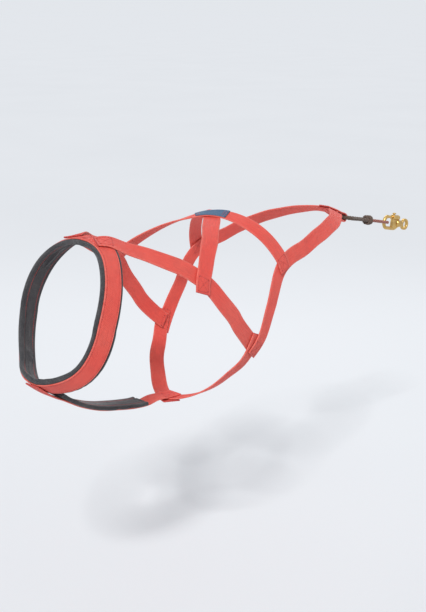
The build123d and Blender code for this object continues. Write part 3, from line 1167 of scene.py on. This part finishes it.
tab_boxes = box_seam(BOX_START, TAB_BOX_HALF_WIDTH, TAB_BOX_LENGTH)
tab_boxes += box_seam(tab.length - BOX_START - TAB_BOX_LENGTH, TAB_BOX_HALF_WIDTH, TAB_BOX_LENGTH)
lay_webbing("tail_tab", tab, tab_boxes, slot="tab_webbing", width=TAB_WIDTH, columns=TAB_COLUMNS)
print("tail tab is sewn with", len(tab_boxes), "rows of stitches")

# %% [markdown]
# ## The lining's finish
#
# The lining is brushed cloth, charcoal and dull, with pale tips where it is worn. It has no weave
# to follow, so everything on it reads Object coordinates: clumps for the roughness and a soft
# bump, and the nap over them.

# %% Brushed lining
PALE_DUST = (0.560, 0.500, 0.460, 1)
CHARCOAL = (0.009, 0.009, 0.011, 1)
CHARCOAL_TIPS = (0.062, 0.061, 0.067, 1)
CHARCOAL_WORN = (0.085, 0.080, 0.082, 1)
CLUMP_SCALE, CLUMP_HEIGHT, NAP_HEIGHT = 160, 0.0006, 0.00050


def lining_material():
    """Brushed charcoal lining over foam."""
    material, wiring, shader = new_material("brushed_lining", Sheen_Weight=0.25, Sheen_Roughness=0.45)
    nap = wiring.effect(NAP, Scale=2400.0)
    clumps = wiring.noise(wiring.object_place(), CLUMP_SCALE, detail=4, roughness=0.6)
    tips = wiring.mix(nap["Tuft"], CHARCOAL, CHARCOAL_TIPS)
    aged = wiring.effect(
        WEATHER, Color=tips, Faded=CHARCOAL_WORN, Dirt=PALE_DUST, Fading=0.35, Soiling=0.05
    )
    wiring.feed(shader["Base Color"], aged["Color"])
    wiring.feed(shader["Roughness"], wiring.spread(clumps, 0.3, 0.7, 0.78, 0.95))
    soft = wiring.bump(clumps, CLUMP_HEIGHT, strength=0.5)
    wiring.feed(shader["Normal"], wiring.bump(nap["Height"], NAP_HEIGHT, normal=soft))
    return material


LINING = lining_material()
print(LINING.name, "of", len(LINING.node_tree.nodes), "nodes")

# %% [markdown]
# ## Padded lining
#
# The lining is a foam strip in brushed cloth, sewn to the neck ring and the breast strap by two
# lines. It starts as a flat closed form, thin at the lines. It is laid along its route and then
# blown up as cloth with a little slack, so that it swells beside the webbing and puckers where
# the ring bends. The strip under the webbing and the seam lines are held.

# %% A flat pad with grooves
PAD_STEP = 0.0025
PAD_COLUMNS = 16
PAD_SHEET = 0.033
PAD_EDGE = (PAD_WIDTH - PAD_SHEET) / 2
# rounding of the edge: rings within a share of the pad's height move out by a share of its edge
PAD_ROUNDING = ((0.75, 0.62), (0.25, 0.38))


def flat_pad(name, length):
    """A flat closed pad from X = 0 with rounded edges, thin where its two seams run."""
    rows = round(length / PAD_STEP)
    cell, column = length / rows, PAD_SHEET / PAD_COLUMNS
    sheet = PAD_THICK / 2 - PAD_INSET
    pad = add(
        bpy.ops.mesh.primitive_grid_add,
        name,
        scale=(cell, PAD_SHEET, 1),
        at=(cell / 2, 0, sheet),
        x_subdivisions=1,
        y_subdivisions=PAD_COLUMNS,
        size=1,
    )
    repeat(pad, rows, (cell, 0, 0))
    apply_modifier(pad, "MIRROR", use_axis=(False, False, True), use_mirror_merge=False)
    bridge_sheets(pad, cuts=3)
    for height_share, edge_share in PAD_ROUNDING:
        push_out(pad, length, PAD_SHEET, sheet * height_share, PAD_EDGE * edge_share)

    def on_seam(places):
        """Points of the underside in the two seams."""
        return (np.abs(np.abs(places[:, 1]) - LINE_AT) < column / 2) & (places[:, 2] < 0)

    open_with(pad, on_seam)
    bpy.ops.transform.translate(value=(0, 0, PAD_GROOVE))
    close()
    return pad


# %% Points that the webbing and the seams hold


def held_points(flat, length):
    """Points of a flat pad that the webbing and the seams hold."""
    under_webbing = (np.abs(flat[:, 1]) < WEB_WIDTH / 2) & (flat[:, 2] > 0)
    on_seam = np.abs(np.abs(flat[:, 1]) - LINE_AT) < PAD_SHEET / PAD_COLUMNS / 2
    at_end = (flat[:, 0] < PAD_STEP / 2) | (flat[:, 0] > length - PAD_STEP / 2)
    return under_webbing | on_seam | at_end


# %% Swelling as cloth
PRESSURE = 4.0
SLACK = 0.03
LEAST_MOVE, MOST_MOVE = 1e-9, 0.0014
CLOTH_FRAMES = 20


def swell(pad, held):
    """Blows a closed pad up as cloth round its held points and limits how far a point may move."""
    before = points_of(pad)
    group = pad.vertex_groups.new(name="held")
    group.add([int(index) for index in np.flatnonzero(held)], 1.0, "REPLACE")
    take(pad)
    cloth = pad.modifiers.new("cloth", "CLOTH")
    cloth.settings.quality = 6
    cloth.settings.mass = 0.02
    cloth.settings.bending_stiffness = 0.2
    cloth.settings.use_pressure = True
    cloth.settings.uniform_pressure_force = PRESSURE
    cloth.settings.shrink_min = -SLACK
    cloth.settings.vertex_group_mass = "held"
    cloth.settings.effector_weights.gravity = 0
    cloth.point_cache.frame_end = CLOTH_FRAMES
    for number in range(1, CLOTH_FRAMES + 1):
        bpy.context.scene.frame_set(number)
    moved = points_of(pad.evaluated_get(bpy.context.evaluated_depsgraph_get())) - before
    distance = np.maximum(np.linalg.norm(moved, axis=1), LEAST_MOVE)
    print(pad.name, "swells by", [round(1000 * d, 2) for d in (distance.mean(), distance.max())], "mm")
    pad.modifiers.remove(cloth)
    bpy.context.scene.frame_set(1)
    set_points(pad, before + moved * np.minimum(1, MOST_MOVE / distance)[:, None])


# %% Three lining pads


def lay_pad(node, route):
    """Makes, lays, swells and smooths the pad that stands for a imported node."""
    pad = flat_pad(node + "_padded", route.length)
    held = held_points(points_of(pad), route.length)
    lay_piece(pad, route)
    swell(pad, held)
    apply_modifier(pad, "SUBSURF", levels=1, render_levels=1)
    take(pad)
    bpy.ops.object.shade_smooth()
    dress(pad, LINING, replaced=[node])
    return pad


for side_name, side in (("left", 1), ("right", -1)):
    lay_pad(f"neck_pad_{side_name}", strap_route(NECK_RING, side, half_thick=PAD_THICK / 2, sway=0))
breast_pad = lay_pad("breast_pad", strap_route(BREAST_PAD, half_thick=PAD_THICK / 2, sway=0))
print(breast_pad.name, "has", len(breast_pad.data.polygons), "faces")

# %% [markdown]
# ## Sewing thread
#
# The thread is bonded nylon in a darker red than the webbing, so that the seams just show. A bead
# of thread is too small for filaments of its own, and a fine nap is enough for its twist.

# %% Sewing thread
THREAD_DARK = (0.360, 0.022, 0.022, 1)
THREAD_LIGHT = (0.620, 0.060, 0.052, 1)
TWIST_HEIGHT = 0.00005


def thread_material():
    """Bonded sewing thread, tone on tone."""
    material, wiring, shader = new_material("sewing_thread", Sheen_Weight=0.15)
    nap = wiring.effect(NAP, Scale=2600.0)
    wiring.feed(shader["Base Color"], wiring.mix(nap["Tuft"], THREAD_DARK, THREAD_LIGHT))
    wiring.feed(shader["Roughness"], wiring.spread(nap["Tuft"], 0, 1, 0.38, 0.55))
    wiring.feed(shader["Normal"], wiring.bump(nap["Height"], TWIST_HEIGHT, strength=0.6))
    return material


SEWING = thread_material()
print(SEWING.name, "of", len(SEWING.node_tree.nodes), "nodes")

# %% [markdown]
# ## Settling the stitches
#
# Thread is pulled tight, so each stitch lies on whatever face is outermost at its place: the tape, a
# strap under it, or the lining, which is now swollen. A ray from just outside finds that face, and
# the stitch moves there. A stitch past the edge of all cloth has nothing to hold, and is deleted.

# %% Drawing a row of stitches onto the cloth
SINK = 0.0036


def settle(rows, outward, search, cloths):
    """Moves each stitch of a piece onto the outermost cloth at its place."""
    places = points_of(rows).reshape(-1, STITCH_POINTS, 3)
    loose = np.zeros(places.shape[:2], bool)
    for number, stitch in enumerate(places):
        middle, way = Vector(stitch.mean(axis=0)), Vector(outward[number])
        hits = [cloth.ray_cast(middle + way * search, -way, search + SINK) for cloth in cloths]
        found = [hit for hit in hits if hit[0] is not None]
        if found:
            face = min(found, key=lambda hit: hit[3])[0]
            stitch += np.array(face + way * STITCH_RISE - middle)
        loose[number] = not found
    set_points(rows, places.reshape(-1, 3))
    open_with(rows, lambda _: loose.ravel())
    bpy.ops.mesh.delete(type="VERT")
    close()
    return rows


# %% All stitches, settled and joined
cloth_pieces = [piece for piece in bpy.data.objects if piece.name.endswith(("_woven", "_padded"))]
now = bpy.context.evaluated_depsgraph_get()
cloths = [BVHTree.FromObject(piece, now) for piece in cloth_pieces]
stitches = join([settle(*row, cloths) for row in sewn], "seam_stitches")
take(stitches)
bpy.ops.object.shade_smooth()
dress(stitches, SEWING)
print("stitches", len(stitches.data.vertices) // STITCH_POINTS, "on", len(cloths), "pieces of cloth")

# %% [markdown]
# ## The rope's finish
#
# The rope is dull and fibrous. The filaments of a strand run along it with a slight slant, from
# the strand's own flat map, and the nap of worn fibres lies over them.

# %% Dark rope and red cord
ROPE_DARK = (0.058, 0.030, 0.019, 1)
ROPE_LIGHT = (0.165, 0.098, 0.062, 1)
BIGHT_RED = (0.235, 0.030, 0.020, 1)
BIGHT_LIGHT = (0.420, 0.170, 0.120, 1)
YARN_PITCH, YARN_SLANT = 0.00042, 0.22
YARN_HEIGHT, FIBRE_HEIGHT = 0.00012, 0.00008


def rope_material(name, colour, light):
    """Braided rope whose strands are spun of fine fibres."""
    material, wiring, shader = new_material(name, Sheen_Weight=0.25, Sheen_Roughness=0.5)
    flat = wiring.map_place("flat")
    threads = wiring.effect(THREADS, Map=flat, Pitch=YARN_PITCH, Slant=YARN_SLANT)
    nap = wiring.effect(NAP, Scale=1300.0)
    # painted shade: yarns are lighter on their crests and darker in the grooves between, from the height
    # that bumps them
    fibre = wiring.mix(wiring.maths("MULTIPLY", threads["Height"], 0.45), colour, light)
    tufted = wiring.mix(wiring.spread(nap["Tuft"], 0.5, 1.0, 0, 0.35), fibre, light)
    aged = wiring.effect(
        WEATHER, Color=tufted, Faded=light, Dirt=PALE_DUST, Fading=0.35, Soiling=0.10, Size=30.0
    )
    wiring.feed(shader["Base Color"], aged["Color"])
    wiring.feed(shader["Roughness"], wiring.spread(threads["Fleck"], 0.3, 0.7, 0.62, 0.85))
    fine = wiring.bump(nap["Height"], FIBRE_HEIGHT, strength=0.6)
    yarns = wiring.bump(threads["Height"], YARN_HEIGHT, strength=0.9, normal=fine)
    wiring.feed(shader["Normal"], yarns)
    return material


DARK_ROPE = rope_material("dark_rope", ROPE_DARK, ROPE_LIGHT)
RED_ROPE = rope_material("red_cord", BIGHT_RED, BIGHT_LIGHT)
print("rope materials of", len(DARK_ROPE.node_tree.nodes), "nodes")

# %% [markdown]
# ## Rope
#
# The tug is braided rope: strands that wind round both ways and pass over and under each other. A
# strand is a flattened tube. It is laid along a helix whose radius rises and falls, in a straight
# rope, and the whole rope is then laid along its own route. A twisted rope could come from a
# Screw modifier, but a screw can't weave strands over one another.

# %% One strand
STRAND_STEP = 0.0009
STRAND_SIDES = 8


def strand_tube(length, half_width, half_thick):
    """A straight flattened tube along X."""
    tube = add(
        bpy.ops.mesh.primitive_cylinder_add,
        "strand",
        scale=(half_thick, half_width, STRAND_STEP),
        turn=(0, math.pi / 2, 0),
        at=(STRAND_STEP / 2, 0, 0),
        vertices=STRAND_SIDES,
        radius=1,
        depth=1,
        end_fill_type="NOTHING",
    )
    repeat(tube, math.ceil(length / STRAND_STEP), (STRAND_STEP, 0, 0))
    open_with(tube, lambda places: np.ones(len(places), bool))
    bpy.ops.mesh.fill_holes(sides=0)
    bpy.ops.mesh.normals_make_consistent(inside=False)
    close()
    return tube


# %% Braided rope
STRANDS = 4
# shares of the rope's radius, and the braid's pitch in diameters
BRAID_MIDDLE, BRAID_WAVE = 0.67, 0.15
STRAND_HALF_WIDTH, STRAND_HALF_THICK, CORE_SHARE = 0.41, 0.21, 0.52
BRAID_PITCH = 3.5


def braided_rope(name, route, diameter):
    """Rope of two sets of strands that wind round opposite ways, laid along a route."""
    radius, pitch = diameter / 2, diameter * BRAID_PITCH
    steps = np.arange(0, route.length + STRAND_STEP, STRAND_STEP)
    strands = []
    for way in (1, -1):
        for number in range(STRANDS):
            turn = 2 * math.pi * (way * steps / pitch + number / STRANDS)
            wave = way * BRAID_WAVE * np.cos(STRANDS * 2 * math.pi * steps / pitch)
            outward = np.stack([np.zeros(len(steps)), np.cos(turn), np.sin(turn)], axis=1)
            reach = outward * (radius * (BRAID_MIDDLE + wave))[:, None]
            helix = Route(reach + np.outer(steps, (1, 0, 0)), outward)
            strand = strand_tube(helix.length, radius * STRAND_HALF_WIDTH, radius * STRAND_HALF_THICK)
            keep_map(strand, "flat", points_of(strand) + (diameter * number, 0, 0))
            strands.append(lay_piece(strand, helix))
    core = strand_tube(route.length, radius * CORE_SHARE, radius * CORE_SHARE)
    keep_map(core, "flat", points_of(core))
    rope = lay_piece(join(strands + [core], name), route)
    take(rope)
    bpy.ops.object.shade_smooth()
    print(name, "is", round(route.length, 3), "m long, in", len(strands), "strands and a core")
    return rope


# %% [markdown]
# ## The tug
#
# The dark rope makes a loop through the tail tab. Its two ends and the two ends of a thinner red
# bight go into a knot, whose turns are the same braided rope wound round them. The snap hooks into
# the bight. Each line is drawn back from the tab's eye and to the side.

# %% Lines of the loop and the bight
# control points, back from the eye and to the side
LOOP_LINE = [
    (0.088, 0.0028),
    (0.074, 0.0034),
    (0.055, 0.0045),
    (0.028, 0.0118),
    (0.000, 0.0212),
    (0.000, -0.0212),
    (0.028, -0.0118),
    (0.055, -0.0045),
    (0.074, -0.0034),
    (0.088, -0.0028),
]
BIGHT_LINE = [
    (0.092, 0.0044),
    (0.103, 0.0066),
    (0.118, 0.0072),
    (0.134, 0.0070),
    (0.150, 0.0070),
    (0.150, -0.0070),
    (0.134, -0.0070),
    (0.118, -0.0072),
    (0.103, -0.0066),
    (0.092, -0.0044),
]
tug_back = Vector(joints["swivel_turn"]["axis"]).normalized()
tug_up = Vector((tug_back.z, 0, -tug_back.x))


def tug_route(line):
    """Route in the plane of the tug, from points given back and to the side."""
    places = smooth_line([tug_at + tug_back * back + to_left * side for back, side in line])
    return Route(places, [tug_up] * len(places))


loop_route, bight_route = tug_route(LOOP_LINE), tug_route(BIGHT_LINE)
print("loop and bight, in metres", round(loop_route.length, 3), round(bight_route.length, 3))

# %% Turns of the knot
KNOT_START, KNOT_LENGTH, KNOT_RADIUS = 0.078, 0.022, 0.0090
KNOT_ROPE = 0.0055
KNOT_TURNS, KNOT_SAMPLES = 3, 160
# how fast the ends duck in, and the share of the radius where they start
KNOT_DUCK, KNOT_END = 2.5, 0.45


def knot_route():
    """Helix of the knot's turns, whose ends duck in between the ropes."""
    share = np.linspace(0, 1, KNOT_SAMPLES)
    turn = 2 * math.pi * KNOT_TURNS * share
    ducked = np.minimum(1, np.minimum(share, 1 - share) * KNOT_TURNS * KNOT_DUCK)
    reach = KNOT_END + (1 - KNOT_END) * np.sin(ducked * math.pi / 2)
    radius = (KNOT_RADIUS - KNOT_ROPE / 2) * reach
    along = KNOT_START + KNOT_ROPE / 2 + (KNOT_LENGTH - KNOT_ROPE) * share
    outward = np.outer(np.cos(turn), to_left) + np.outer(np.sin(turn), tug_up)
    return Route(np.array(tug_at) + np.outer(along, tug_back) + outward * radius[:, None], outward)


print("rope in the knot", round(knot_route().length, 3), "m")

# %% Tug loop, knot and bight
TUG_ROPE, BIGHT_ROPE = 0.0070, 0.0055

loop = braided_rope("tug_loop_braid", loop_route, TUG_ROPE)
dress(loop, DARK_ROPE, "tug", ["tug_loop"])
knot = braided_rope("tug_knot_turns", knot_route(), KNOT_ROPE)
dress(knot, DARK_ROPE, "tug", ["tug_knot"])
bight = braided_rope("tug_bight_braid", bight_route, BIGHT_ROPE)
dress(bight, RED_ROPE, "tug", ["tug_bight"])
print("rope pieces", [(piece.name, len(piece.data.polygons)) for piece in (loop, knot, bight)])

# %% [markdown]
# ## Brass
#
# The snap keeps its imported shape. Cast brass is bright where rope and hands rub it, and brown in
# the corners, with fine scratches. The patina comes from noise on Object coordinates, because cast
# metal has no direction of its own.

# %% Brass of the snap
BRASS = (0.620, 0.390, 0.120, 1)
BRASS_RUBBED = (0.740, 0.510, 0.195, 1)
PATINA = (0.190, 0.098, 0.036, 1)
CLOUD_SCALE, GRAIN_SCALE, SCRATCH_SHAPE = 75, 1600, (260, 2600, 900)
GRAIN_HEIGHT, SCRATCH_HEIGHT = 0.00006, 0.00003


def brass_material():
    """Worn cast brass."""
    material, wiring, shader = new_material("worn_brass")
    place = wiring.object_place()
    cloud = wiring.noise(place, CLOUD_SCALE, detail=5, roughness=0.6)
    grains = wiring.noise(place, GRAIN_SCALE, detail=3, roughness=0.6)
    scratches = wiring.noise(wiring.stretch(place, SCRATCH_SHAPE), 1.0)
    patina = wiring.spread(cloud, 0.46, 0.78, 0, 0.60)
    rubbed = wiring.mix(wiring.spread(grains, 0.35, 0.7), BRASS, BRASS_RUBBED)
    wiring.feed(shader["Base Color"], wiring.mix(patina, rubbed, PATINA))
    wiring.feed(shader["Metallic"], wiring.spread(patina, 0, 1, 1.0, 0.75))
    rough = wiring.maths("MULTIPLY_ADD", patina, 0.30, 0.24)
    wiring.feed(shader["Roughness"], wiring.maths("MULTIPLY_ADD", scratches, 0.12, rough))
    fine = wiring.bump(scratches, SCRATCH_HEIGHT, strength=0.4)
    cast = wiring.bump(grains, GRAIN_HEIGHT, strength=0.35, normal=fine)
    wiring.feed(shader["Normal"], cast)
    return material


WORN_BRASS = brass_material()
for node in ("snap_body", "snap_bolt", "snap_swivel"):
    packed = frame["nodes"][node]
    packed.data.materials.clear()
    packed.data.materials.append(WORN_BRASS)
    print(node, "is finished with", packed.data.materials[0].name)

# %% [markdown]
# ## Stage and light
#
# The floor is pale and lies where the wearer would stand. It runs to the horizon, so a sun lamp
# lights it, which is as strong near as far, with a wide disc for soft shadows. A soft lamp from
# behind draws the edges of the straps. The sky that the camera and the brass see is as pale as the
# lit floor, and the sky that lights the harness is dimmer, so that colours come out as written.

# %% Floor
FLOOR_AT, FLOOR_SIZE, DRIFT_SCALE = -0.578, 400, 1.3
FLOOR_COLOUR = (0.800, 0.812, 0.830, 1)
FLOOR_LIGHT = (0.840, 0.850, 0.865, 1)


def add_floor():
    """A wide pale floor."""
    floor = add(bpy.ops.mesh.primitive_plane_add, "floor", at=(0, 0, FLOOR_AT), size=FLOOR_SIZE)
    material, wiring, shader = new_material("pale_floor", Specular_IOR_Level=0.0)
    drift = wiring.noise(wiring.object_place(), DRIFT_SCALE, detail=4)
    wiring.feed(shader["Base Color"], wiring.mix(drift, FLOOR_COLOUR, FLOOR_LIGHT))
    floor.data.materials.append(material)


add_floor()
print("floor", FLOOR_AT, "m from the top of the back")

# %% Lamps
SUN_FROM, SUN_STRENGTH, SUN_DISC = (1.5, 0.95, 1.9), 2.1, 11
RIM_FROM, RIM_WIDTH, RIM_WATTS = (-1.2, -1.0, 1.0), 0.8, 4


def aim(lamp, place):
    """Puts a lamp at a place, shining at the harness, and adds it to the scene."""
    lamp.location = place
    lamp.rotation_euler = (-Vector(place)).to_track_quat("-Z", "Y").to_euler()
    bpy.context.scene.collection.objects.link(lamp)


def add_lamps():
    """A soft sun and a soft lamp from behind."""
    sun = bpy.data.lights.new("sun", "SUN")
    sun.energy, sun.angle = SUN_STRENGTH, math.radians(SUN_DISC)
    aim(bpy.data.objects.new("sun", sun), SUN_FROM)
    rim = bpy.data.lights.new("rim", "AREA")
    rim.shape, rim.size, rim.energy = "DISK", RIM_WIDTH, RIM_WATTS
    aim(bpy.data.objects.new("rim", rim), RIM_FROM)


add_lamps()
print("lamps", [lamp.name for lamp in bpy.data.lights])

# %% World
SEEN_SKY = (0.768, 0.796, 0.836, 1)
LIGHT_SKY = (0.900, 0.940, 1.000, 1)
LIGHT_SKY_STRENGTH = 0.50


def add_sky():
    """An even sky, paler for what sees it than for what it lights."""
    world = bpy.data.worlds.new("even_sky")
    world.use_nodes = True
    wiring = Wiring(world.node_tree)
    path = wiring.add("ShaderNodeLightPath").outputs
    seen = wiring.maths("MAXIMUM", path["Is Camera Ray"], path["Is Glossy Ray"])
    seen = wiring.maths("MAXIMUM", seen, path["Is Transmission Ray"])
    sky = wiring.nodes["Background"].inputs
    wiring.feed(sky["Color"], wiring.mix(seen, LIGHT_SKY, SEEN_SKY))
    wiring.feed(sky["Strength"], wiring.spread(seen, 0, 1, LIGHT_SKY_STRENGTH, 1.0))
    bpy.context.scene.world = world


add_sky()
bpy.context.scene.view_settings.view_transform = "Standard"
print("world", bpy.context.scene.world.name, "and view", bpy.context.scene.view_settings.view_transform)
